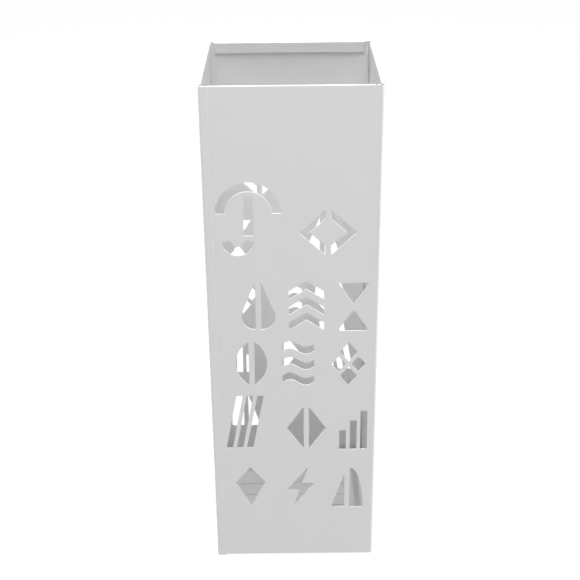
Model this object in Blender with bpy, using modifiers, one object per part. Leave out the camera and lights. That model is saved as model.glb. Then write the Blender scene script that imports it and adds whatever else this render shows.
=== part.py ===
"""A square umbrella stand folded from powder-coated sheet steel, with a lift-out drip tray.

Two identical panels make the four walls. Each one is a decorated face and a plain side in one
piece, bent at one corner, and its far edge turns in to a flange that laps over the other panel.
Metres, +Z up, the front faces -Y, and the origin is on the floor at the middle of the stand.
"""

from math import asin, atan2, cos, hypot, pi, radians, sin

import bmesh
import bpy
from mathutils import Matrix, Vector

MM = 0.001

# Overall sizes.
WIDTH = 155 * MM
DEPTH = 155 * MM
HEIGHT = 485 * MM

# The sheet and its folds.
SHEET = 1.0 * MM
BEND_RADIUS = 2.5 * MM  # outside of each bend
LAP = 8 * MM  # flange that laps over the neighbouring panel
HEM = 10 * MM  # rim of the sheet, folded flat on the inside
HEM_SLOT = 0.4 * MM  # what is left between a wall and its hem
HEM_NOTCH = 6 * MM  # the rim is cut away this far from the outer faces
HEM_GAP = 1.0 * MM  # slot between a hem's end and the unfolded corner
RELIEF_WIDTH = 2.4 * MM
RELIEF_DEPTH = 1.6 * MM

# Base pan, tray and feet.
PAN_SHEET = 1.0 * MM
PAN_BEND = 2.0 * MM  # outside of the pan's bends
PAN_FLANGE = 10 * MM  # pan's upturned edges
PAN_NOTCH = 3 * MM  # open corner between two flanges
WALL_SKIRT = 1.0 * MM  # how far the walls hang below the pan
TRAY_CLEARANCE = 1.5 * MM  # each side, between the tray's lip and the hems it passes
TRAY_HEIGHT = 24 * MM
TRAY_WALL = 1.6 * MM
TRAY_LIP = 4 * MM
TRAY_DRAFT = 2.5 * MM  # each side, from the lip's root to the floor
TRAY_CORNER = 14 * MM
FOOT_RADIUS = 6 * MM
FOOT_HEIGHT = 2 * MM
FOOT_INSET = 11.5 * MM  # from the outer faces to a foot's middle
FOOT_EDGE = 0.4 * MM

GAP = 0.3 * MM  # between pieces that rest on each other

# Stencil cut-outs. The pattern is drawn to its own size, and stretched to fill the face.
PATTERN_WIDTH = 137.0 * MM
PATTERN_HEIGHT = 341.7 * MM
MARGIN_LEFT = 10.0 * MM  # from the outer left corner
MARGIN_RIGHT = 8.0 * MM
MARGIN_BOTTOM = 58.3 * MM
MARGIN_TOP = 85.0 * MM
BRIDGE = 5 * MM  # metal left between the two halves of a shape
ARC_STEP = radians(11)
BEND_STEPS = 4
FOLD_STEPS = 6
TRAY_CORNER_STEPS = 5
FOOT_SIDES = 32

# Places that follow from the sizes above.
HEM_RADIUS = SHEET + HEM_SLOT / 2
FACE_INSET = SHEET + GAP  # a face lies behind the flange that laps over it
PAN_BOTTOM = FOOT_HEIGHT + GAP
PANEL_BOTTOM = PAN_BOTTOM - WALL_SKIRT
TRAY_BOTTOM = PAN_BOTTOM + PAN_SHEET + GAP
NARROWEST = max(2 * HEM_RADIUS, SHEET + GAP + PAN_SHEET)  # what hems and pan take of each side
TRAY_WIDTH = WIDTH - 2 * (NARROWEST + TRAY_CLEARANCE)
TRAY_DEPTH = DEPTH - 2 * (FACE_INSET + NARROWEST + TRAY_CLEARANCE)

UP = Vector((0, 0, 1))


def clear_scene():
    for obj in list(bpy.data.objects):
        bpy.data.objects.remove(obj, do_unlink=True)


def new_collection(name):
    collection = bpy.data.collections.new(name)
    bpy.context.scene.collection.children.link(collection)
    return collection


def new_material(name, colour, roughness, metallic=0.0):
    material = bpy.data.materials.new(name)
    material.use_nodes = True
    shader = material.node_tree.nodes["Principled BSDF"]
    shader.inputs["Base Color"].default_value = (*colour, 1.0)
    shader.inputs["Roughness"].default_value = roughness
    shader.inputs["Metallic"].default_value = metallic
    return material


clear_scene()
STAND = new_collection("umbrella_stand")
TOOLS = new_collection("tools")
POWDER_COAT = new_material("white_powder_coat", (0.76, 0.76, 0.77), 0.5)
TRAY_PLASTIC = new_material("white_polypropylene", (0.72, 0.72, 0.71), 0.45)
FOOT_RUBBER = new_material("grey_rubber", (0.30, 0.30, 0.30), 0.85)


# ---- Building blocks -------------------------------------------------------------------------


def add_part(name, mesh, material):
    """Put a finished mesh in the scene as a named piece of the stand."""
    mesh.materials.clear()
    mesh.materials.append(material)
    obj = bpy.data.objects.new(name, mesh)
    STAND.objects.link(obj)
    mesh.shade_smooth()
    mesh.set_sharp_from_angle(angle=radians(35))
    return obj


def add_tool(name, mesh):
    """Put a shape that only cuts or joins another in the scene, hidden from the render."""
    obj = bpy.data.objects.new(name, mesh)
    TOOLS.objects.link(obj)
    obj.display_type = "WIRE"
    obj.hide_render = True
    return obj


def evaluated_mesh(obj):
    graph = bpy.context.evaluated_depsgraph_get()
    return bpy.data.meshes.new_from_object(obj.evaluated_get(graph))


def arc(centre, radius, start, end, steps):
    """Points of an arc, both ends included. The centre is a pair and the angles are in radians."""
    turn = (end - start) / steps
    angles = [start + turn * i for i in range(steps + 1)]
    return [(centre[0] + radius * cos(a), centre[1] + radius * sin(a)) for a in angles]


def sheet_between(name, first, second):
    """A strip of sheet from one line of points to another. Its thickness goes in from the strip."""
    bm = bmesh.new()
    row = [bm.verts.new(point) for point in first]
    edges = [bm.edges.new(pair) for pair in zip(row, row[1:])]
    made = bmesh.ops.extrude_edge_only(bm, edges=edges)["geom"]
    moved = [item for item in made if isinstance(item, bmesh.types.BMVert)]
    for vert in moved:
        nearest = min(range(len(first)), key=lambda i: (vert.co - first[i]).length)
        vert.co = second[nearest]
    bmesh.ops.reverse_faces(bm, faces=bm.faces)
    mesh = bpy.data.meshes.new(name)
    bm.to_mesh(mesh)
    bm.free()
    return mesh


def add_thickness(obj, thickness):
    wall = obj.modifiers.new("thickness", "SOLIDIFY")
    wall.thickness = thickness
    wall.offset = -1
    wall.use_even_offset = True


def box_mesh(name, size, place):
    bm = bmesh.new()
    bmesh.ops.create_cube(bm, size=1, matrix=place @ Matrix.Diagonal((*size, 1)))
    mesh = bpy.data.meshes.new(name)
    bm.to_mesh(mesh)
    bm.free()
    return mesh


def plate_mesh(name, outlines, thickness, place):
    """Flat outlines, given as lists of pairs, made into a mesh of the given thickness."""
    curve = bpy.data.curves.new(name, "CURVE")
    curve.dimensions = "2D"
    curve.fill_mode = "BOTH"
    curve.extrude = thickness / 2
    for outline in outlines:
        spline = curve.splines.new("POLY")
        spline.points.add(len(outline) - 1)
        for point, (x, y) in zip(spline.points, outline):
            point.co = (x, y, 0, 1)
        spline.use_cyclic_u = True
    flat = add_tool(name, curve)
    mesh = evaluated_mesh(flat)
    bpy.data.objects.remove(flat)
    bm = bmesh.new()
    bm.from_mesh(mesh)
    bmesh.ops.remove_doubles(bm, verts=bm.verts, dist=1e-6)
    bmesh.ops.recalc_face_normals(bm, faces=bm.faces)
    bm.transform(place)
    bm.to_mesh(mesh)
    bm.free()
    return mesh


def rounded_rectangle(width, depth, radius, steps):
    """Outline round the origin, counter-clockwise from the lower right corner."""
    x = width / 2 - radius
    y = depth / 2 - radius
    points = []
    for i, centre in enumerate([(x, -y), (x, y), (-x, y), (-x, -y)]):
        start = (i - 1) * pi / 2
        points += arc(centre, radius, start, start + pi / 2, steps)
    return points


# ---- Stencil shapes --------------------------------------------------------------------------
# Each returns the outlines that fill a box of the given width and height, from its lower left.


def sector(centre, outer, inner, start, end):
    """A stretch of a ring."""
    steps = max(2, round(abs(end - start) / ARC_STEP))
    return arc(centre, outer, start, end, steps) + arc(centre, inner, end, start, steps)


def bar(start, end, width):
    """A straight stroke between two points, with square ends."""
    along = Vector(end) - Vector(start)
    side = Vector((-along.y, along.x)).normalized() * width / 2
    corners = [Vector(start) - side, Vector(end) - side, Vector(end) + side, Vector(start) + side]
    return [tuple(corner) for corner in corners]


def umbrella(width, height, stroke=8.5 * MM):
    """Open umbrella: a hoop for the canopy, a shaft and a hooked handle."""
    middle = width / 2
    canopy_foot = height - middle
    hook = 1.15 * stroke
    canopy = sector((middle, canopy_foot), middle, middle - stroke, 0, pi)
    shaft = bar((middle, hook + stroke / 2 + BRIDGE), (middle, height - stroke - BRIDGE), stroke)
    hook_centre = (middle - hook, hook + stroke / 2)
    handle = sector(hook_centre, hook + stroke / 2, hook - stroke / 2, pi, 2 * pi)
    return [canopy, shaft, handle]


def diamond_frame(width, height, stroke=6.5 * MM):
    """The two halves of a diamond's outline, with a bridge at the top and the bottom."""
    reach = width / 2
    rise = height / 2
    inner = 1 - stroke * hypot(reach, rise) / (reach * rise)
    outside = rise * (1 - BRIDGE / (2 * reach))
    inside = rise * (inner - BRIDGE / (2 * reach))
    half = [
        (BRIDGE / 2, -outside),
        (reach, 0),
        (BRIDGE / 2, outside),
        (BRIDGE / 2, inside),
        (reach * inner, 0),
        (BRIDGE / 2, -inside),
    ]
    right = [(reach + x, rise + z) for x, z in half]
    left = [(reach - x, rise + z) for x, z in reversed(half)]
    return [left, right]


def raindrop(width, height):
    """A drop in two halves, with a bridge down its middle."""
    radius = (width - BRIDGE) / 2
    tip_rise = height - radius
    touch = asin(radius / tip_rise)  # where the straight side leaves the round one
    steps = max(2, round((pi / 2 + touch) / ARC_STEP))
    right = arc((0, radius), radius, -pi / 2, touch, steps) + [(0, height)]
    left = [(-x, z) for x, z in reversed(right)]
    return [
        [(x + (width - BRIDGE) / 2, z) for x, z in left],
        [(x + (width + BRIDGE) / 2, z) for x, z in right],
    ]


def chevrons(width, height, count=3, stroke=8 * MM):
    """A stack of roof shapes."""
    rise = width * 0.32
    pitch = (height - rise - stroke) / (count - 1)
    roofs = []
    for i in range(count):
        foot = i * pitch
        roofs.append(
            [
                (0, foot),
                (width / 2, foot + rise),
                (width, foot),
                (width, foot + stroke),
                (width / 2, foot + rise + stroke),
                (0, foot + stroke),
            ]
        )
    return roofs


def hourglass(width, height):
    """Two triangles, point to point, with a bridge between them."""
    waist = height / 2
    return [
        [(0, 0), (width, 0), (width / 2, waist - BRIDGE / 2)],
        [(0, height), (width / 2, waist + BRIDGE / 2), (width, height)],
    ]


def leaf(width, height):
    """A pointed oval in two halves."""
    bulge = (width - BRIDGE) / 2
    radius = (bulge**2 + (height / 2) ** 2) / (2 * bulge)
    half_angle = atan2(height / 2, radius - bulge)
    steps = max(2, round(2 * half_angle / ARC_STEP))
    right = arc((bulge - radius, height / 2), radius, -half_angle, half_angle, steps)
    left = [(-x, z) for x, z in reversed(right)]
    return [
        [(x + (width - BRIDGE) / 2, z) for x, z in left],
        [(x + (width + BRIDGE) / 2, z) for x, z in right],
    ]


def waves(width, height, count=3, stroke=7.5 * MM):
    """A stack of rippled strips."""
    swing = stroke * 0.4
    pitch = (height - stroke - 2 * swing) / (count - 1)
    steps = 14
    strips = []
    for i in range(count):
        middle = stroke / 2 + swing + i * pitch
        crest = [
            (width * j / steps, middle + swing * sin(2 * pi * j / steps)) for j in range(steps + 1)
        ]
        lower = [(x, z - stroke / 2) for x, z in crest]
        upper = [(x, z + stroke / 2) for x, z in reversed(crest)]
        strips.append(lower + upper)
    return strips


def petals(width, height, plumpness=0.25):
    """Four lozenges round a middle of solid metal."""
    middle = Vector((width / 2, height / 2))
    belly = plumpness * min(width, height)
    shapes = []
    for along in (Vector((1, 0)), Vector((0, 1)), Vector((-1, 0)), Vector((0, -1))):
        across = Vector((-along.y, along.x)) * belly
        reach = abs(along.x) * width / 2 + abs(along.y) * height / 2
        tip = middle + along * reach
        root = middle + along * BRIDGE / 2
        waist = (tip + root) / 2
        shapes.append([tuple(point) for point in (tip, waist + across, root, waist - across)])
    return shapes


def slanted_bars(width, height, count=3, stroke=6 * MM):
    """Leaning strokes, side by side, like driving rain."""
    lean = width * 0.3
    pitch = (width - lean - stroke) / (count - 1)
    strokes = []
    for i in range(count):
        foot = i * pitch
        strokes.append(
            [
                (foot, 0),
                (foot + stroke, 0),
                (foot + stroke + lean, height),
                (foot + lean, height),
            ]
        )
    return strokes


def split_diamond(width, height):
    """A solid diamond in two halves."""
    reach = (width - BRIDGE) / 2
    return [
        [(0, height / 2), (reach, 0), (reach, height)],
        [(width, height / 2), (reach + BRIDGE, height), (reach + BRIDGE, 0)],
    ]


def rising_bars(width, height, count=3, stroke=6.5 * MM):
    """Upright strokes, each taller than the one before."""
    pitch = (width - stroke) / (count - 1)
    rise = height / (count + 1)
    middles = [stroke / 2 + i * pitch for i in range(count)]
    return [bar((x, 0), (x, (i + 2) * rise), stroke) for i, x in enumerate(middles)]


def kite(width, height, shoulder=0.62):
    """A solid kite."""
    return [[(width / 2, 0), (width, height * shoulder), (width / 2, height), (0, height * shoulder)]]


def bolt(width, height):
    """A lightning flash."""
    return [
        [
            (width * 0.25, 0),
            (width, height * 0.58),
            (width * 0.56, height * 0.58),
            (width * 0.78, height),
            (0, height * 0.40),
            (width * 0.46, height * 0.40),
        ]
    ]


def sails(width, height, share=0.42):
    """A straight sail and a curved one, either side of the metal that stands for their mast."""
    mast = width * share
    boom = mast + BRIDGE
    steps = 8
    curved = [(boom, 0)]
    for x, z in arc((0, 0), 1, 0, pi / 2, steps):
        curved.append((boom + (width - boom) * x, height * z))
    return [[(0, 0), (mast, 0), (mast, height * 0.86)], curved]


# Shape, left and bottom edges from the pattern's lower left corner, width, height.
STENCIL = [
    (umbrella, 0.0 * MM, 272.7 * MM, 58.0 * MM, 69.0 * MM),
    (diamond_frame, 73.3 * MM, 270.2 * MM, 51.7 * MM, 48.2 * MM),
    (raindrop, 20.5 * MM, 198.7 * MM, 31.2 * MM, 48.5 * MM),
    (chevrons, 63.8 * MM, 197.7 * MM, 32.0 * MM, 49.5 * MM),
    (hourglass, 108.5 * MM, 196.7 * MM, 28.2 * MM, 48.3 * MM),
    (leaf, 14.2 * MM, 140.0 * MM, 29.1 * MM, 46.2 * MM),
    (waves, 57.2 * MM, 139.7 * MM, 29.5 * MM, 46.5 * MM),
    (petals, 103.0 * MM, 138.7 * MM, 31.7 * MM, 46.0 * MM),
    (slanted_bars, 2.7 * MM, 70.5 * MM, 36.6 * MM, 57.9 * MM),
    (split_diamond, 60.8 * MM, 68.7 * MM, 37.2 * MM, 47.0 * MM),
    (rising_bars, 110.8 * MM, 67.7 * MM, 26.7 * MM, 43.0 * MM),
    (kite, 10.5 * MM, 2.5 * MM, 28.8 * MM, 45.4 * MM),
    (bolt, 60.0 * MM, 2.5 * MM, 27.2 * MM, 45.2 * MM),
    (sails, 103.3 * MM, 0.0 * MM, 31.4 * MM, 45.9 * MM),
]


# ---- Panels ----------------------------------------------------------------------------------


def panel_plan():
    """Outer surface of the front and right walls, from the free edge to the end of the flange."""
    face = FACE_INSET - DEPTH / 2
    right = WIDTH / 2
    back = DEPTH / 2
    free_edge = BEND_RADIUS + GAP - WIDTH / 2
    plan = [(free_edge, face)]
    corner = (right - BEND_RADIUS, face + BEND_RADIUS)
    plan += arc(corner, BEND_RADIUS, -pi / 2, 0, BEND_STEPS)
    corner = (right - BEND_RADIUS, back - BEND_RADIUS)
    plan += arc(corner, BEND_RADIUS, 0, pi / 2, BEND_STEPS)
    plan.append((right - LAP, back))
    return plan


def wall_strip():
    plan = panel_plan()
    bottom = [Vector((x, y, PANEL_BOTTOM)) for x, y in plan]
    top = [Vector((x, y, HEIGHT)) for x, y in plan]
    return sheet_between("wall", bottom, top)


def hem_section():
    """Outer surface of a folded rim, as pairs of depth behind the wall's face and height."""
    fold = arc((HEM_RADIUS, HEIGHT - HEM_RADIUS), HEM_RADIUS, pi, 0, FOLD_STEPS)
    return [(0, HEIGHT - HEM / 2), *fold, (2 * HEM_RADIUS, HEIGHT - HEM)]


def hem_strip(name, edge, ends):
    """A hem's outer surface, swept along a wall between two ends."""
    origin, along, inward = edge
    first = []
    second = []
    for depth, height in hem_section():
        place = origin + inward * depth + UP * height
        first.append(place + along * ends[0])
        second.append(place + along * ends[1])
    return sheet_between(name, second, first)


def build_panel_mesh():
    """The finished panel: folded, hemmed and cut, in its place at the front and right."""
    face = (Vector((0, FACE_INSET - DEPTH / 2, 0)), Vector((1, 0, 0)), Vector((0, 1, 0)))
    side = (Vector((WIDTH / 2, 0, 0)), Vector((0, 1, 0)), Vector((-1, 0, 0)))
    half_width = WIDTH / 2
    half_depth = DEPTH / 2
    reaches = {
        "face": (face, -half_width, half_width),
        "side": (side, FACE_INSET - half_depth, half_depth),
    }
    panel = add_tool("panel", wall_strip())
    add_thickness(panel, SHEET)
    for name, (edge, start, end) in reaches.items():
        ends = (start + HEM_NOTCH, end - HEM_NOTCH)
        middle = edge[0] + edge[1] * (ends[0] + ends[1]) / 2
        size = Vector((SHEET, SHEET, HEM))
        size += Vector([abs(part) * (ends[1] - ends[0] - SHEET) for part in edge[1]])
        size += Vector([abs(part) * 2 * SHEET for part in edge[2]])
        place = Matrix.Translation(middle + UP * (HEIGHT - HEM_RADIUS + HEM / 2))
        cutter = add_tool(f"{name}_rim_cut", box_mesh(f"{name}_rim_cut", size, place))
        cut(panel, cutter)
        hem_ends = (ends[0] + HEM_GAP, ends[1] - HEM_GAP)
        hem = add_tool(f"{name}_hem", hem_strip(f"{name}_hem", edge, hem_ends))
        add_thickness(hem, SHEET)
        join(panel, hem)
    corner = Vector((half_width, FACE_INSET - half_depth, HEIGHT))
    size = (4 * BEND_RADIUS, RELIEF_WIDTH, 2 * RELIEF_DEPTH)
    place = Matrix.Translation(corner) @ Matrix.Rotation(radians(-45), 4, "Z")
    cut(panel, add_tool("relief", box_mesh("relief", size, place)))
    cut(panel, add_tool("stencil", stencil_mesh()))
    return evaluated_mesh(panel)


def stencil_mesh():
    """Every cut-out, as prisms that stand through the front wall."""
    wider = (WIDTH - MARGIN_LEFT - MARGIN_RIGHT) / PATTERN_WIDTH
    taller = (HEIGHT - MARGIN_BOTTOM - MARGIN_TOP) / PATTERN_HEIGHT
    outlines = []
    for shape, left, bottom, width, height in STENCIL:
        for outline in shape(width, height):
            drawn = [((left + x) * wider, (bottom + z) * taller) for x, z in outline]
            outlines.append([(MARGIN_LEFT + x, MARGIN_BOTTOM + z) for x, z in drawn])
    upright = Matrix.Rotation(pi / 2, 4, "X")
    corner = Vector((-WIDTH / 2, FACE_INSET - DEPTH / 2 + SHEET / 2, 0))
    place = Matrix.Translation(corner) @ upright
    return plate_mesh("stencil", outlines, 4 * SHEET, place)


def cut(obj, tool):
    boolean = obj.modifiers.new(f"cut_{tool.name}", "BOOLEAN")
    boolean.operation = "DIFFERENCE"
    boolean.object = tool


def join(obj, tool):
    boolean = obj.modifiers.new(f"join_{tool.name}", "BOOLEAN")
    boolean.operation = "UNION"
    boolean.object = tool


def build_panels():
    mesh = build_panel_mesh()
    for tool in list(TOOLS.objects):
        bpy.data.objects.remove(tool)
    add_part("front_right_panel", mesh, POWDER_COAT)
    turned = add_part("back_left_panel", mesh, POWDER_COAT)
    turned.rotation_euler.z = pi


# ---- Base, tray and feet ---------------------------------------------------------------------


def build_base_pan():
    """A folded pan that closes the bottom. Its upturned flanges are spot-welded to the walls."""
    right = WIDTH / 2 - SHEET - GAP - PAN_BEND
    back = DEPTH / 2 - FACE_INSET - SHEET - GAP - PAN_BEND
    rise = arc((0, PAN_BEND), PAN_BEND, -pi / 2, 0, BEND_STEPS) + [(PAN_BEND, PAN_FLANGE)]
    bm = bmesh.new()
    bmesh.ops.create_grid(bm, x_segments=1, y_segments=1, size=1)
    bmesh.ops.scale(bm, verts=bm.verts, vec=(right, back, 1))
    corners = list(bm.verts)
    bmesh.ops.bevel(bm, geom=corners, offset=PAN_NOTCH, segments=1, affect="VERTICES")
    bmesh.ops.reverse_faces(bm, faces=bm.faces)
    flanged = [edge for edge in bm.edges if edge.calc_length() > 2 * PAN_NOTCH]
    for edge in flanged:
        middle = (edge.verts[0].co + edge.verts[1].co) / 2
        outward = middle.normalized()
        reached = Vector((0, 0))
        for step in rise[1:]:
            made = bmesh.ops.extrude_edge_only(bm, edges=[edge])["geom"]
            moved = [item for item in made if isinstance(item, bmesh.types.BMVert)]
            edge = next(item for item in made if isinstance(item, bmesh.types.BMEdge))
            move = Vector(step) - reached
            bmesh.ops.translate(bm, verts=moved, vec=outward * move.x + UP * move.y)
            reached = Vector(step)
    mesh = bpy.data.meshes.new("base_pan")
    bm.to_mesh(mesh)
    bm.free()
    pan = add_part("base_pan", mesh, POWDER_COAT)
    pan.location.z = PAN_BOTTOM
    add_thickness(pan, PAN_SHEET)


def build_drip_tray():
    """A moulded tray with leaning walls and a flat lip, which lifts straight out."""
    lip_underside = TRAY_HEIGHT - TRAY_WALL
    levels = [
        (TRAY_LIP + TRAY_DRAFT + 2 * TRAY_WALL, 0),
        (TRAY_LIP + TRAY_DRAFT, 1.5 * TRAY_WALL),
        (TRAY_LIP, lip_underside),
        (0, lip_underside),
    ]
    bm = bmesh.new()
    rings = []
    for inset, height in levels:
        width = TRAY_WIDTH - 2 * inset
        depth = TRAY_DEPTH - 2 * inset
        outline = rounded_rectangle(width, depth, TRAY_CORNER - inset, TRAY_CORNER_STEPS)
        rings.append([bm.verts.new((x, y, height)) for x, y in outline])
    bm.faces.new(rings[0][::-1])
    for lower, upper in zip(rings, rings[1:]):
        for i, vert in enumerate(lower):
            bm.faces.new((lower[i - 1], vert, upper[i], upper[i - 1]))
    mesh = bpy.data.meshes.new("drip_tray")
    bm.to_mesh(mesh)
    bm.free()
    tray = add_part("drip_tray", mesh, TRAY_PLASTIC)
    tray.location.z = TRAY_BOTTOM
    add_thickness(tray, TRAY_WALL)


def build_feet():
    """Self-adhesive rubber discs under the corners of the pan."""
    for depth_name, way_y in (("front", -1), ("back", 1)):
        for side_name, way_x in (("left", -1), ("right", 1)):
            name = f"foot_{depth_name}_{side_name}"
            bm = bmesh.new()
            bmesh.ops.create_cone(
                bm,
                cap_ends=True,
                segments=FOOT_SIDES,
                radius1=FOOT_RADIUS,
                radius2=FOOT_RADIUS,
                depth=FOOT_HEIGHT,
                matrix=Matrix.Translation((0, 0, FOOT_HEIGHT / 2)),
            )
            mesh = bpy.data.meshes.new(name)
            bm.to_mesh(mesh)
            bm.free()
            foot = add_part(name, mesh, FOOT_RUBBER)
            foot.location.x = way_x * (WIDTH / 2 - FOOT_INSET)
            foot.location.y = way_y * (DEPTH / 2 - FOOT_INSET)
            edge = foot.modifiers.new("edge", "BEVEL")
            edge.width = FOOT_EDGE
            edge.segments = 1
            edge.limit_method = "ANGLE"


build_panels()
build_base_pan()
build_drip_tray()
build_feet()
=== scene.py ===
"""Looks of the square steel umbrella stand: two folded panels, base pan, feet and drip tray."""

from math import asin, atan2, cos, hypot, pi, radians, sin, tan

import bmesh
import bpy
from mathutils import Matrix, Vector


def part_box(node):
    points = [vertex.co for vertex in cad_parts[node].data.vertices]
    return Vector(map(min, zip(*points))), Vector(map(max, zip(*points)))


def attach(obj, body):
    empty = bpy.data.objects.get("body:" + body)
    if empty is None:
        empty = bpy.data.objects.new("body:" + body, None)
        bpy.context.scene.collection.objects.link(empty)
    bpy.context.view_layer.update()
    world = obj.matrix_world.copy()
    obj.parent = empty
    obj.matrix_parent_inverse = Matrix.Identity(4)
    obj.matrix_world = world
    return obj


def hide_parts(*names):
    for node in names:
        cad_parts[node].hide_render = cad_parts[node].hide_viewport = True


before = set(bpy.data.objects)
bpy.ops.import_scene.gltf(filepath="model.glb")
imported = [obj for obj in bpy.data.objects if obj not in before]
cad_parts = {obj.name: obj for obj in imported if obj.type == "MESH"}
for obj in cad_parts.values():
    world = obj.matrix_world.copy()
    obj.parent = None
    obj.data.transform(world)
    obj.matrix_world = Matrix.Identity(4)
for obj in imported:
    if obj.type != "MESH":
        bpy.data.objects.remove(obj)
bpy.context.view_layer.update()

# ==== Steel panels ============================================================================
# Two laser-cut blanks of 1 mm mild steel, each bent into a cut-out face and a plain side. The rim
# is folded flat to the inside, and the last 8 mm is a flange that laps over the other panel's
# free edge and is spot-welded to it. Both are powder-coated white after welding.

mm = 0.001

panel_low, panel_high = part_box("front_right_panel")
half_width = panel_high.x
front = panel_low.y  # outer surface of the cut-out face
back = panel_high.y  # outer surface of the lap flange
free_edge = panel_low.x
panel_foot = panel_low.z
panel_top = panel_high.z

sheet = 1.0 * mm
bend_radius = 2.5 * mm
lap = 8 * mm
hem = 10 * mm
hem_slot = 0.4 * mm  # between the wall and the hem's cut edge, which springs open a little
fold_slot = 0.1 * mm
hem_notch = 6 * mm
hem_gap = 1.0 * mm  # slot between a hem's end and the unfolded corner
hem_radius = sheet + fold_slot / 2
relief_width = 2.4 * mm
relief_depth = 1.6 * mm
cut_edge_round = 0.25 * mm  # the coat rounds every cut edge off
lap_edge_round = 0.5 * mm  # the flange's outer edge, which hands touch, is deburred first
bend_steps = 6
fold_steps = 8


def linear(hex_colour):
    """An sRGB hex colour as the linear RGBA that a shader takes."""
    channels = [int(hex_colour[i : i + 2], 16) / 255 for i in (1, 3, 5)]
    return (*[c / 12.92 if c <= 0.04045 else ((c + 0.055) / 1.055) ** 2.4 for c in channels], 1.0)


def add_node(tree, kind, inputs, **settings):
    """Add a shader node. inputs gives a socket its value, or the socket that feeds it."""
    made = tree.nodes.new(kind)
    for name, value in settings.items():
        setattr(made, name, value)
    for name, value in inputs.items():
        if isinstance(value, bpy.types.NodeSocket):
            tree.links.new(value, made.inputs[name])
        else:
            made.inputs[name].default_value = value
    return made


def new_material(name):
    """A material with only its output, and a socket that gives object coordinates in metres."""
    material = bpy.data.materials.new(name)
    material.use_nodes = True
    tree = material.node_tree
    tree.nodes.clear()
    output = tree.nodes.new("ShaderNodeOutputMaterial")
    place = tree.nodes.new("ShaderNodeTexCoord").outputs["Object"]
    return material, tree, output.inputs["Surface"], place


def powder_coat():
    """Satin polyester powder coat, sprayed dry and baked: a soft sheen over a fine orange peel."""
    material, tree, surface, place = new_material("satin_powder_coat")
    peel_size = 1.6 * mm  # real cells are about half this, too fine to show
    peel_height = 0.012 * mm
    sheet_wave = 75 * mm  # a thin sheet is never quite flat
    wave_height = 0.10 * mm
    film_patch = 28 * mm  # the film's gloss and tint drift over about this distance
    peel = add_node(
        tree, "ShaderNodeTexNoise", {"Vector": place, "Scale": 1 / peel_size, "Detail": 2.0}
    )
    wave = add_node(
        tree, "ShaderNodeTexNoise", {"Vector": place, "Scale": 1 / sheet_wave, "Detail": 1.0}
    )
    film = add_node(
        tree,
        "ShaderNodeTexNoise",
        {"Vector": place, "Scale": 1 / film_patch, "Detail": 4.0, "Roughness": 0.6},
    )
    wave_bump = add_node(
        tree, "ShaderNodeBump", {"Height": wave.outputs["Fac"], "Distance": wave_height}
    )
    peel_bump = add_node(
        tree,
        "ShaderNodeBump",
        {
            "Height": peel.outputs["Fac"],
            "Distance": peel_height,
            "Normal": wave_bump.outputs["Normal"],
        },
    )
    gloss = add_node(
        tree,
        "ShaderNodeMapRange",
        {
            "Value": film.outputs["Fac"],
            "From Min": 0.3,
            "From Max": 0.7,
            "To Min": 0.40,
            "To Max": 0.48,
        },
    )
    tint = add_node(
        tree,
        "ShaderNodeMix",
        {"Factor": film.outputs["Fac"], "A": linear("#f0f0f1"), "B": linear("#f4f4f4")},
        data_type="RGBA",
    )
    shader = add_node(
        tree,
        "ShaderNodeBsdfPrincipled",
        {
            "Base Color": tint.outputs["Result"],
            "Roughness": gloss.outputs["Result"],
            "IOR": 1.5,
            "Normal": peel_bump.outputs["Normal"],
        },
    )
    tree.links.new(shader.outputs["BSDF"], surface)
    return material


def arc(centre, radius, start, end, steps):
    """Points of an arc, both ends included, as pairs."""
    turn = (end - start) / steps
    angles = [start + turn * i for i in range(steps + 1)]
    return [(centre[0] + radius * cos(a), centre[1] + radius * sin(a)) for a in angles]


def add_object(name, bm, material):
    """Make a mesh object of a bmesh, at the origin."""
    mesh = bpy.data.meshes.new(name)
    bm.to_mesh(mesh)
    bm.free()
    mesh.materials.append(material)
    obj = bpy.data.objects.new(name, mesh)
    bpy.context.scene.collection.objects.link(obj)
    return obj


def swept_sheet(first, second):
    """Sheet between two lines of points. Both give the outer surface, and its wall goes in."""
    bm = bmesh.new()
    row = [bm.verts.new(point) for point in first]
    edges = [bm.edges.new(pair) for pair in zip(row, row[1:])]
    made = bmesh.ops.extrude_edge_only(bm, edges=edges)["geom"]
    for vert in [item for item in made if isinstance(item, bmesh.types.BMVert)]:
        nearest = min(range(len(first)), key=lambda i: (vert.co - first[i]).length)
        vert.co = second[nearest]
    bmesh.ops.reverse_faces(bm, faces=bm.faces)
    return bm


def thicken(obj, thickness):
    wall = obj.modifiers.new("sheet", "SOLIDIFY")
    wall.thickness = thickness
    wall.offset = -1
    wall.use_even_offset = True


def combine(obj, tool, operation):
    boolean = obj.modifiers.new(f"{operation.lower()}_{tool.name}", "BOOLEAN")
    boolean.operation = operation
    boolean.object = tool


def apply_modifiers(obj):
    """Replace the object's mesh with what its modifiers make of it."""
    graph = bpy.context.evaluated_depsgraph_get()
    made = bpy.data.meshes.new_from_object(obj.evaluated_get(graph))
    obj.modifiers.clear()
    obj.data = made


# ---- The cut-outs: fourteen rain and weather signs, in five rows -----------------------------
# Each function gives the outlines that fill a box of that width and height, from its lower left.
# A bridge of metal keeps every loose middle in place, as in any stencil.

bridge = 5 * mm
arc_turn = radians(6)


def steps_for(turn):
    return max(2, round(abs(turn) / arc_turn))


def sector(centre, outer, inner, start, end):
    """A stretch of a ring."""
    steps = steps_for(end - start)
    return arc(centre, outer, start, end, steps) + arc(centre, inner, end, start, steps)


def bar(start, end, width):
    """A straight stroke between two points, with square ends."""
    along = Vector(end) - Vector(start)
    side = Vector((-along.y, along.x)).normalized() * width / 2
    corners = (Vector(start) - side, Vector(end) - side, Vector(end) + side, Vector(start) + side)
    return [tuple(corner) for corner in corners]


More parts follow.
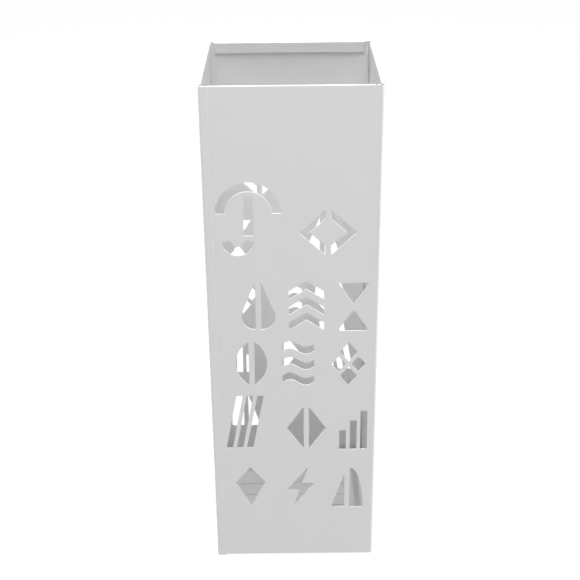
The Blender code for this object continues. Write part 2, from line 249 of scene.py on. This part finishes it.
def mirrored_halves(half, width):
    """A half that lies right of x = 0, moved out by half a bridge, and its mirror image."""
    middle = width / 2
    right = [(middle + bridge / 2 + x, z) for x, z in half]
    left = [(middle - bridge / 2 - x, z) for x, z in reversed(half)]
    return [left, right]


def umbrella(width, height, stroke=8.5 * mm):
    """Open umbrella: a hoop for the canopy, a shaft and a hooked handle."""
    middle = width / 2
    canopy_foot = height - middle
    hook = 1.15 * stroke
    canopy = sector((middle, canopy_foot), middle, middle - stroke, 0, pi)
    shaft = bar((middle, hook + stroke / 2 + bridge), (middle, height - stroke - bridge), stroke)
    hook_centre = (middle - hook, hook + stroke / 2)
    handle = sector(hook_centre, hook + stroke / 2, hook - stroke / 2, pi, 2 * pi)
    return [canopy, shaft, handle]


def diamond_frame(width, height, stroke=6.5 * mm):
    """The two halves of a diamond's outline."""
    reach = width / 2
    rise = height / 2
    inner = 1 - stroke * hypot(reach, rise) / (reach * rise)
    outside = rise * (1 - bridge / (2 * reach))
    inside = rise * (inner - bridge / (2 * reach))
    tip = reach - bridge / 2
    notch = reach * inner - bridge / 2
    half = [
        (0, rise - outside),
        (tip, rise),
        (0, rise + outside),
        (0, rise + inside),
        (notch, rise),
        (0, rise - inside),
    ]
    return mirrored_halves(half, width)


def raindrop(width, height):
    """A drop in two halves."""
    radius = (width - bridge) / 2
    touch = asin(radius / (height - radius))  # where the straight side leaves the round one
    turn = touch + pi / 2
    half = arc((0, radius), radius, -pi / 2, touch, steps_for(turn)) + [(0, height)]
    return mirrored_halves(half, width)


def chevrons(width, height, count=3, stroke=8 * mm):
    """A stack of roof shapes."""
    rise = width * 0.32
    pitch = (height - rise - stroke) / (count - 1)
    feet = [i * pitch for i in range(count)]
    return [
        [
            (0, foot),
            (width / 2, foot + rise),
            (width, foot),
            (width, foot + stroke),
            (width / 2, foot + rise + stroke),
            (0, foot + stroke),
        ]
        for foot in feet
    ]


def hourglass(width, height):
    """Two triangles, point to point."""
    waist = height / 2
    return [
        [(0, 0), (width, 0), (width / 2, waist - bridge / 2)],
        [(0, height), (width / 2, waist + bridge / 2), (width, height)],
    ]


def leaf(width, height):
    """A pointed oval in two halves."""
    bulge = (width - bridge) / 2
    radius = (bulge**2 + (height / 2) ** 2) / (2 * bulge)
    reach = atan2(height / 2, radius - bulge)
    half = arc((bulge - radius, height / 2), radius, -reach, reach, steps_for(2 * reach))
    return mirrored_halves(half, width)


def waves(width, height, count=3, stroke=7.5 * mm):
    """A stack of rippled strips."""
    swing = stroke * 0.4
    pitch = (height - stroke - 2 * swing) / (count - 1)
    steps = 40
    strips = []
    for i in range(count):
        middle = stroke / 2 + swing + i * pitch
        crest = [
            (width * j / steps, middle + swing * sin(2 * pi * j / steps)) for j in range(steps + 1)
        ]
        lower = [(x, z - stroke / 2) for x, z in crest]
        upper = [(x, z + stroke / 2) for x, z in reversed(crest)]
        strips.append(lower + upper)
    return strips


def petals(width, height, plumpness=0.25):
    """Four lozenges round a middle of solid metal."""
    middle = Vector((width / 2, height / 2))
    belly = plumpness * min(width, height)
    shapes = []
    for along in (Vector((1, 0)), Vector((0, 1)), Vector((-1, 0)), Vector((0, -1))):
        across = Vector((-along.y, along.x)) * belly
        reach = abs(along.x) * width / 2 + abs(along.y) * height / 2
        tip = middle + along * reach
        root = middle + along * bridge / 2
        waist = (tip + root) / 2
        shapes.append([tuple(point) for point in (tip, waist + across, root, waist - across)])
    return shapes


def slanted_bars(width, height, count=3, stroke=6 * mm):
    """Leaning strokes, side by side, like driving rain."""
    lean = width * 0.3
    pitch = (width - lean - stroke) / (count - 1)
    feet = [i * pitch for i in range(count)]
    return [
        [(foot, 0), (foot + stroke, 0), (foot + stroke + lean, height), (foot + lean, height)]
        for foot in feet
    ]


def split_diamond(width, height):
    """A solid diamond in two halves."""
    reach = (width - bridge) / 2
    return mirrored_halves([(0, 0), (reach, height / 2), (0, height)], width)


def rising_bars(width, height, count=3, stroke=6.5 * mm):
    """Upright strokes, each taller than the one before."""
    pitch = (width - stroke) / (count - 1)
    rise = height / (count + 1)
    middles = [stroke / 2 + i * pitch for i in range(count)]
    return [bar((x, 0), (x, (i + 2) * rise), stroke) for i, x in enumerate(middles)]


def kite(width, height, shoulder=0.62):
    """A solid kite."""
    return [[(width / 2, 0), (width, height * shoulder), (width / 2, height), (0, height * shoulder)]]


def bolt(width, height):
    """A lightning flash."""
    return [
        [
            (width * 0.25, 0),
            (width, height * 0.58),
            (width * 0.56, height * 0.58),
            (width * 0.78, height),
            (0, height * 0.40),
            (width * 0.46, height * 0.40),
        ]
    ]


def sails(width, height, share=0.42):
    """A straight sail and a curved one, either side of the metal that stands for their mast."""
    mast = width * share
    boom = mast + bridge
    quarter = arc((0, 0), 1, 0, pi / 2, steps_for(pi / 2))
    curved = [(boom, 0)] + [(boom + (width - boom) * x, height * z) for x, z in quarter]
    return [[(0, 0), (mast, 0), (mast, height * 0.86)], curved]


# Sign, left edge from the outer corner of the face, bottom edge above the floor, width, height.
cut_outs = [
    (umbrella, 10.0 * mm, 331.0 * mm, 58.0 * mm, 69.0 * mm),
    (diamond_frame, 83.3 * mm, 328.5 * mm, 51.7 * mm, 48.2 * mm),
    (raindrop, 30.5 * mm, 257.0 * mm, 31.2 * mm, 48.5 * mm),
    (chevrons, 73.8 * mm, 256.0 * mm, 32.0 * mm, 49.5 * mm),
    (hourglass, 118.5 * mm, 255.0 * mm, 28.2 * mm, 48.3 * mm),
    (leaf, 24.2 * mm, 198.3 * mm, 29.1 * mm, 46.2 * mm),
    (waves, 67.2 * mm, 198.0 * mm, 29.5 * mm, 46.5 * mm),
    (petals, 113.0 * mm, 197.0 * mm, 31.7 * mm, 46.0 * mm),
    (slanted_bars, 12.7 * mm, 128.8 * mm, 36.6 * mm, 57.9 * mm),
    (split_diamond, 70.8 * mm, 127.0 * mm, 37.2 * mm, 47.0 * mm),
    (rising_bars, 120.8 * mm, 126.0 * mm, 26.7 * mm, 43.0 * mm),
    (kite, 20.5 * mm, 60.8 * mm, 28.8 * mm, 45.4 * mm),
    (bolt, 70.0 * mm, 60.8 * mm, 27.2 * mm, 45.2 * mm),
    (sails, 113.3 * mm, 58.3 * mm, 31.4 * mm, 45.9 * mm),
]
laser_corner = 0.45 * mm  # radius that the laser leaves in every corner
corner_steps = 5
gentlest_corner = radians(155)  # a wider opening than this is a point along an arc


def round_corners(bm, face):
    """Give every corner of a flat outline the laser's radius. Points along an arc are left alone."""
    for vert in list(face.verts):
        ahead, behind = [(edge.other_vert(vert).co - vert.co) for edge in vert.link_edges]
        opening = ahead.angle(behind)
        if opening > gentlest_corner:
            continue
        reach = laser_corner / tan(opening / 2)
        reach = min(reach, 0.45 * min(ahead.length, behind.length))
        bmesh.ops.bevel(
            bm,
            geom=[vert],
            affect="VERTICES",
            offset=reach,
            offset_type="OFFSET",
            segments=corner_steps,
            profile=0.5,
            material=-1,
        )


def cut_out_prisms():
    """Every outline as a prism through the front wall."""
    bm = bmesh.new()
    for sign, left, foot, width, height in cut_outs:
        for outline in sign(width, height):
            flat = bmesh.new()
            verts = [
                flat.verts.new((left - half_width + x, front - 2 * sheet, foot + z))
                for x, z in outline
            ]
            bmesh.ops.remove_doubles(flat, verts=verts, dist=0.001 * mm)
            round_corners(flat, flat.faces.new(flat.verts))
            made = bmesh.ops.extrude_face_region(flat, geom=list(flat.faces))["geom"]
            moved = [item for item in made if isinstance(item, bmesh.types.BMVert)]
            bmesh.ops.translate(flat, verts=moved, vec=(0, 5 * sheet, 0))
            bmesh.ops.recalc_face_normals(flat, faces=flat.faces)
            prism = bpy.data.meshes.new("cut_out")
            flat.to_mesh(prism)
            flat.free()
            bm.from_mesh(prism)
            bpy.data.meshes.remove(prism)
    return bm


# ---- The folded panel ------------------------------------------------------------------------


def wall_sheet():
    """The face, the side and the lap flange, bent but with nothing folded or cut."""
    plan = [(free_edge, front)]
    corner = (half_width - bend_radius, front + bend_radius)
    plan += arc(corner, bend_radius, -pi / 2, 0, bend_steps)
    corner = (half_width - bend_radius, back - bend_radius)
    plan += arc(corner, bend_radius, 0, pi / 2, bend_steps)
    plan.append((half_width - lap, back))
    lower = [Vector((x, y, panel_foot)) for x, y in plan]
    upper = [Vector((x, y, panel_top)) for x, y in plan]
    return swept_sheet(lower, upper)


# Pairs of depth behind the wall's outer surface and height above the floor.
fold = arc((hem_radius, panel_top - hem_radius), hem_radius, pi, 0, fold_steps)
hem_section = [(0, panel_top - hem / 2), *fold, (2 * sheet + hem_slot, panel_top - hem)]


def hem_sheet(wall, ends):
    """The fold of the rim, swept along a wall between two ends."""
    origin, along, inward = wall
    near = []
    far = []
    for depth, height in hem_section:
        place = origin + inward * depth + Vector((0, 0, height))
        near.append(place + along * ends[0])
        far.append(place + along * ends[1])
    return swept_sheet(far, near)


def block(size, place):
    bm = bmesh.new()
    bmesh.ops.create_cube(bm, size=1, matrix=place @ Matrix.Diagonal((*size, 1)))
    return bm


coat = powder_coat()
face_wall = (Vector((0, front, 0)), Vector((1, 0, 0)), Vector((0, 1, 0)))
side_wall = (Vector((half_width, 0, 0)), Vector((0, 1, 0)), Vector((-1, 0, 0)))
panel = add_object("front_right_wall", wall_sheet(), coat)
thicken(panel, sheet)
tools = []
for name, wall, start, end in (
    ("face", face_wall, -half_width, half_width),
    ("side", side_wall, front, back),
):
    origin, along, inward = wall
    ends = (start + hem_notch, end - hem_notch)
    reach = ends[1] - ends[0]
    size = Vector(map(abs, along * reach + inward * 3 * sheet)) + Vector((0, 0, hem))
    middle = origin + along * sum(ends) / 2
    place = Matrix.Translation(middle + Vector((0, 0, panel_top - hem_radius + hem / 2)))
    rim_cut = add_object(f"{name}_rim_cut", block(size, place), coat)
    combine(panel, rim_cut, "DIFFERENCE")
    folded_ends = (ends[0] + hem_gap, ends[1] - hem_gap)
    folded = add_object(f"{name}_hem", hem_sheet(wall, folded_ends), coat)
    thicken(folded, sheet)
    combine(panel, folded, "UNION")
    tools += [rim_cut, folded]
corner = Matrix.Translation((half_width, front, panel_top))
size = (4 * bend_radius, relief_width, 2 * relief_depth)
relief = add_object("relief", block(size, corner @ Matrix.Rotation(radians(-45), 4, "Z")), coat)
combine(panel, relief, "DIFFERENCE")
cutter = add_object("cut_outs", cut_out_prisms(), coat)
combine(panel, cutter, "DIFFERENCE")
tools += [relief, cutter]

# The spot welds leave a row of shallow round dimples down the flange.
weld_pitch = 60 * mm
weld_depth = 0.12 * mm
electrode = 22 * mm  # crown radius of the welding tip
electrode_steps = 48
welds = bmesh.new()
weld_count = int((panel_top - panel_foot) // weld_pitch)
for i in range(weld_count):
    height = panel_foot + (i + 0.5) * (panel_top - panel_foot) / weld_count
    middle = (half_width - lap / 2, back + electrode - weld_depth, height)
    turn_down = Matrix.Rotation(pi / 2, 4, "X")
    bmesh.ops.create_uvsphere(
        welds,
        u_segments=electrode_steps,
        v_segments=2 * electrode_steps,
        radius=electrode,
        matrix=Matrix.Translation(middle) @ turn_down,
    )
weld_tool = add_object("welds", welds, coat)
combine(panel, weld_tool, "DIFFERENCE")
tools.append(weld_tool)
apply_modifiers(panel)
for tool in tools:
    bpy.data.objects.remove(tool)


def round_cut_edges(obj):
    """Round every sharp edge as the coat does, and the flange's own edge more.

    The slivers at the ends of the rim's fold stay sharp, since they are shorter than the round.
    """
    sliver = 0.35 * mm
    near = 0.02 * mm
    sharpest_bend = radians(40)
    bm = bmesh.new()
    bm.from_mesh(obj.data)
    weight = bm.edges.layers.float.new("bevel_weight_edge")
    for edge in bm.edges:
        at_rim = max(vert.co.z for vert in edge.verts) > panel_top - 3 * hem_radius
        sharp = edge.calc_face_angle(0) > sharpest_bend
        on_lap_edge = all(
            abs(abs(vert.co.x) - (half_width - lap)) < near and abs(abs(vert.co.y) - back) < near
            for vert in edge.verts
        )
        if on_lap_edge:
            edge[weight] = 1.0
        elif sharp and not (at_rim and edge.calc_length() < sliver):
            edge[weight] = cut_edge_round / lap_edge_round
    bm.to_mesh(obj.data)
    bm.free()
    bevel = obj.modifiers.new("coated_edges", "BEVEL")
    bevel.width = lap_edge_round
    bevel.segments = 3
    bevel.limit_method = "WEIGHT"
    bevel.use_clamp_overlap = False
    flats = obj.modifiers.new("flat_faces", "WEIGHTED_NORMAL")
    flats.weight = 100
    obj.data.shade_smooth()


panel.data.materials.clear()
panel.data.materials.append(coat)
back_panel = bpy.data.objects.new("back_left_wall", panel.data.copy())
bpy.context.scene.collection.objects.link(back_panel)
back_panel.data.transform(Matrix.Rotation(pi, 4, "Z"))
for piece, replaced in ((panel, "front_right_panel"), (back_panel, "back_left_panel")):
    round_cut_edges(piece)
    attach(piece, "stand")
    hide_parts(replaced)

# ==== Base pan ================================================================================
# A square of the same 1 mm steel with its four edges bent up. It closes the bottom, keeps the
# walls square, and is spot-welded to them through its flanges. Coated together with the walls.

pan_low, pan_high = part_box("base_pan")
pan_sheet = 1.0 * mm
pan_bend = 2.0 * mm
pan_notch = 3 * mm  # open corner between two flanges

pan_rise = arc((0, pan_bend), pan_bend, -pi / 2, 0, bend_steps)
pan_rise.append((pan_bend, pan_high.z - pan_low.z))
pan_mesh = bmesh.new()
bmesh.ops.create_grid(pan_mesh, x_segments=1, y_segments=1, size=1)
pan_reach = (pan_high.x - pan_bend, pan_high.y - pan_bend, 1)
bmesh.ops.scale(pan_mesh, verts=pan_mesh.verts, vec=pan_reach)
bmesh.ops.translate(pan_mesh, verts=pan_mesh.verts, vec=(0, 0, pan_low.z))
bmesh.ops.bevel(
    pan_mesh,
    geom=list(pan_mesh.verts),
    affect="VERTICES",
    offset=pan_notch,
    segments=1,
    profile=0.5,
    material=-1,
)
bmesh.ops.reverse_faces(pan_mesh, faces=pan_mesh.faces)
for edge in [edge for edge in pan_mesh.edges if edge.calc_length() > 2 * pan_notch]:
    outward = (edge.verts[0].co + edge.verts[1].co) / 2
    outward = Vector((outward.x, outward.y, 0)).normalized()
    for last, step in zip(pan_rise, pan_rise[1:]):
        made = bmesh.ops.extrude_edge_only(pan_mesh, edges=[edge])["geom"]
        edge = next(item for item in made if isinstance(item, bmesh.types.BMEdge))
        move = outward * (step[0] - last[0]) + Vector((0, 0, step[1] - last[1]))
        bmesh.ops.translate(pan_mesh, verts=edge.verts, vec=move)
pan = add_object("folded_base_pan", pan_mesh, coat)
thicken(pan, pan_sheet)
apply_modifiers(pan)
round_cut_edges(pan)
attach(pan, "stand")
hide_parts("base_pan")

# ==== Feet ====================================================================================
# Four round pads of grey rubber, 2 mm thick, pressed out of sheet with a shallow dish underneath
# that grips the floor. Each one is glued under a corner of the pan.

foot_edge = 0.5 * mm
foot_rim = 1.6 * mm  # flat ring that stands on the floor
dish_depth = 0.35 * mm
foot_edge_steps = 5
foot_sides = 64


def grey_rubber():
    """Pressed EPDM sheet: matt dark grey with a fine pressed grain and a dusty bloom."""
    material, tree, surface, place = new_material("pressed_epdm_rubber")
    grain_size = 0.5 * mm
    grain_height = 0.03 * mm
    bloom_size = 4 * mm
    grain = add_node(
        tree, "ShaderNodeTexNoise", {"Vector": place, "Scale": 1 / grain_size, "Detail": 3.0}
    )
    bloom = add_node(
        tree, "ShaderNodeTexNoise", {"Vector": place, "Scale": 1 / bloom_size, "Detail": 5.0}
    )
    tint = add_node(
        tree,
        "ShaderNodeMix",
        {"Factor": bloom.outputs["Fac"], "A": linear("#6e6e6d"), "B": linear("#868684")},
        data_type="RGBA",
    )
    bump = add_node(
        tree, "ShaderNodeBump", {"Height": grain.outputs["Fac"], "Distance": grain_height}
    )
    shader = add_node(
        tree,
        "ShaderNodeBsdfPrincipled",
        {
            "Base Color": tint.outputs["Result"],
            "Roughness": 0.82,
            "IOR": 1.52,
            "Normal": bump.outputs["Normal"],
        },
    )
    tree.links.new(shader.outputs["BSDF"], surface)
    return material


rubber = grey_rubber()
for corner in ("front_left", "front_right", "back_left", "back_right"):
    low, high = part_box(f"foot_{corner}")
    middle = (low + high) / 2
    radius = (high.x - low.x) / 2
    thick = high.z - low.z
    lower_centre = (radius - foot_edge, foot_edge)
    upper_centre = (radius - foot_edge, thick - foot_edge)
    lower_edge = arc(lower_centre, foot_edge, -pi / 2, 0, foot_edge_steps)
    upper_edge = arc(upper_centre, foot_edge, 0, pi / 2, foot_edge_steps)
    dish = [(0, dish_depth), (radius - foot_rim - 2 * dish_depth, dish_depth)]
    profile = [*dish, (radius - foot_rim, 0), *lower_edge, *upper_edge, (0, thick)]
    pad = bmesh.new()
    line = [pad.verts.new((x, 0, z)) for x, z in profile]
    edges = [pad.edges.new(pair) for pair in zip(line, line[1:])]
    bmesh.ops.spin(
        pad,
        geom=line + edges,
        cent=(0, 0, 0),
        axis=(0, 0, 1),
        angle=2 * pi,
        steps=foot_sides,
        use_merge=True,
    )
    bmesh.ops.remove_doubles(pad, verts=pad.verts, dist=0.001 * mm)
    bmesh.ops.recalc_face_normals(pad, faces=pad.faces)
    bmesh.ops.translate(pad, verts=pad.verts, vec=(middle.x, middle.y, low.z))
    foot = add_object(f"rubber_foot_{corner}", pad, rubber)
    foot.data.shade_smooth()
    foot.data.set_sharp_from_angle(angle=radians(40))
    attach(foot, "stand")
    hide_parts(f"foot_{corner}")

# ==== Drip tray ===============================================================================
# One injection moulding of white polypropylene that drops in and lifts out: a rolled lip, walls
# that lean for draft, and five low ribs that keep the umbrellas' tips out of the water.

tray_low, tray_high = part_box("drip_tray")
tray_wall = 1.4 * mm
tray_corner = 14 * mm
lip_width = 5.6 * mm
lip_skirt = 3.5 * mm
lip_round = 2.0 * mm
mouth_round = 1.5 * mm
floor_round = 3.0 * mm
draft = 2.5 * mm
rib_count = 5
rib_pitch = 20 * mm
rib_width = 2.2 * mm
rib_height = 1.0 * mm
rib_end = 16 * mm  # from a rib's end to the tray's outer edge
rib_crest = 0.5 * mm
moulded_edge = 0.3 * mm
lip_steps = 6
floor_steps = 8
tray_corner_steps = 16
rib_steps = 6


def white_polypropylene():
    """Injection-moulded polypropylene: waxy white, with the fine matt of a spark-eroded mould."""
    material, tree, surface, place = new_material("moulded_polypropylene")
    spark_size = 0.7 * mm  # real pits are near 0.1 mm, too fine to show
    spark_height = 0.02 * mm
    flow_size = 45 * mm
    spark = add_node(
        tree, "ShaderNodeTexNoise", {"Vector": place, "Scale": 1 / spark_size, "Detail": 2.0}
    )
    flow = add_node(
        tree, "ShaderNodeTexNoise", {"Vector": place, "Scale": 1 / flow_size, "Detail": 2.0}
    )
    gloss = add_node(
        tree,
        "ShaderNodeMapRange",
        {
            "Value": flow.outputs["Fac"],
            "From Min": 0.3,
            "From Max": 0.7,
            "To Min": 0.42,
            "To Max": 0.54,
        },
    )
    bump = add_node(
        tree, "ShaderNodeBump", {"Height": spark.outputs["Fac"], "Distance": spark_height}
    )
    tint = add_node(
        tree,
        "ShaderNodeMix",
        {"Factor": flow.outputs["Fac"], "A": linear("#d8d8d7"), "B": linear("#dededd")},
        data_type="RGBA",
    )
    shader = add_node(
        tree,
        "ShaderNodeBsdfPrincipled",
        {
            "Base Color": tint.outputs["Result"],
            "Roughness": gloss.outputs["Result"],
            "IOR": 1.49,
            "Normal": bump.outputs["Normal"],
        },
    )
    tree.links.new(shader.outputs["BSDF"], surface)
    return material


# Section of the upper surface, as pairs of distance in from the outer edge and height.
tray_top = tray_high.z
tray_floor = tray_low.z + tray_wall
mouth_centre = (lip_width - mouth_round, tray_top - mouth_round)
floor_centre = (lip_width + draft + floor_round, tray_floor + floor_round)
tray_section = [(0, tray_top - lip_skirt)]
tray_section += arc((lip_round, tray_top - lip_round), lip_round, pi, pi / 2, lip_steps)
tray_section += arc(mouth_centre, mouth_round, pi / 2, 0, lip_steps)
tray_section += arc(floor_centre, floor_round, pi, 3 * pi / 2, floor_steps)

tray_mesh = bmesh.new()
bmesh.ops.create_grid(tray_mesh, x_segments=1, y_segments=1, size=1)
bmesh.ops.scale(tray_mesh, verts=tray_mesh.verts, vec=(tray_high.x, tray_high.y, 1))
bmesh.ops.translate(tray_mesh, verts=tray_mesh.verts, vec=(0, 0, tray_section[0][1]))
bmesh.ops.bevel(
    tray_mesh,
    geom=list(tray_mesh.verts),
    affect="VERTICES",
    offset=tray_corner,
    segments=tray_corner_steps,
    profile=0.5,
    material=-1,
)
inner = tray_mesh.faces[:]
for last, step in zip(tray_section, tray_section[1:]):
    bmesh.ops.inset_region(
        tray_mesh,
        faces=inner,
        thickness=step[0] - last[0],
        depth=step[1] - last[1],
        use_boundary=True,
        use_even_offset=True,
    )
white_plastic = white_polypropylene()
tray = add_object("lift_out_drip_tray", tray_mesh, white_plastic)
thicken(tray, tray_wall)
rib_mesh = bmesh.new()
for i in range(rib_count):
    offset = (i - (rib_count - 1) / 2) * rib_pitch
    size = (2 * (tray_high.x - rib_end), rib_width, 2 * rib_height)
    bmesh.ops.create_cube(
        rib_mesh,
        size=1,
        matrix=Matrix.Translation((0, offset, tray_floor)) @ Matrix.Diagonal((*size, 1)),
    )
upright = [
    edge
    for edge in rib_mesh.edges
    if abs(edge.verts[0].co.z - edge.verts[1].co.z) > rib_height
]
bmesh.ops.bevel(
    rib_mesh,
    geom=upright,
    affect="EDGES",
    offset=0.45 * rib_width,
    segments=rib_steps,
    profile=0.5,
    material=-1,
)
crests = [
    edge
    for edge in rib_mesh.edges
    if min(vert.co.z for vert in edge.verts) > tray_floor and edge.calc_face_angle(0) > radians(60)
]
bmesh.ops.bevel(
    rib_mesh,
    geom=crests,
    affect="EDGES",
    offset=rib_crest,
    segments=3,
    profile=0.5,
    material=-1,
)
ribs = add_object("ribs", rib_mesh, white_plastic)
combine(tray, ribs, "UNION")
apply_modifiers(tray)
bpy.data.objects.remove(ribs)
tray.data.shade_smooth()
tray_edge = tray.modifiers.new("moulded_edges", "BEVEL")
tray_edge.width = moulded_edge
tray_edge.segments = 2
tray_edge.limit_method = "ANGLE"
tray_edge.angle_limit = radians(40)
tray_flats = tray.modifiers.new("flat_faces", "WEIGHTED_NORMAL")
tray_flats.weight = 100
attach(tray, "tray")
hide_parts("drip_tray")

# ==== Studio ==================================================================================
# A pale floor that glows evenly, like paper lit from all round, one wide soft box overhead and a
# small one low on the right, in a dim room.

floor_reach = 60
floor = bmesh.new()
bmesh.ops.create_grid(floor, x_segments=1, y_segments=1, size=floor_reach)
ground, tree, surface, place = new_material("pale_floor")
paper = add_node(
    tree,
    "ShaderNodeBsdfPrincipled",
    {
        "Base Color": linear("#404040"),
        "Roughness": 0.9,
        "Emission Color": (1, 1, 1, 1),
        "Emission Strength": 0.97,
    },
)
tree.links.new(paper.outputs["BSDF"], surface)
add_object("floor", floor, ground)

world = bpy.data.worlds.new("room")
bpy.context.scene.world = world
world.use_nodes = True
world.node_tree.nodes["Background"].inputs["Color"].default_value = (1, 1, 1, 1)
world.node_tree.nodes["Background"].inputs["Strength"].default_value = 0.09


def add_area_light(name, place, target, size, power):
    lamp = bpy.data.lights.new(name, "AREA")
    lamp.shape = "DISK"
    lamp.size = size
    lamp.energy = power
    obj = bpy.data.objects.new(name, lamp)
    bpy.context.scene.collection.objects.link(obj)
    obj.location = place
    obj.rotation_euler = (Vector(target) - Vector(place)).to_track_quat("-Z", "Y").to_euler()


add_area_light("overhead", (0, 0.04, 1.9), (0, 0, 0.3), 1.6, 51)
add_area_light("right_window", (1.7, -0.3, 0.3), (0, 0, 0.3), 0.8, 7)
bpy.context.scene.view_settings.view_transform = "Standard"

camera_data = bpy.data.cameras.new("camera")
camera_data.lens = 71.02
camera_data.sensor_width = 36
camera = bpy.data.objects.new("camera", camera_data)
bpy.context.scene.collection.objects.link(camera)
bpy.context.scene.camera = camera
yaw = radians(0.128)
pitch = radians(25.751)
roll = radians(-0.550)
camera.matrix_world = (
    Matrix.Translation((-0.0045, -1.0028, 0.7439))
    @ Matrix.Rotation(-yaw, 4, "Z")
    @ Matrix.Rotation(pi / 2 - pitch, 4, "X")
    @ Matrix.Rotation(roll, 4, "Z")
)
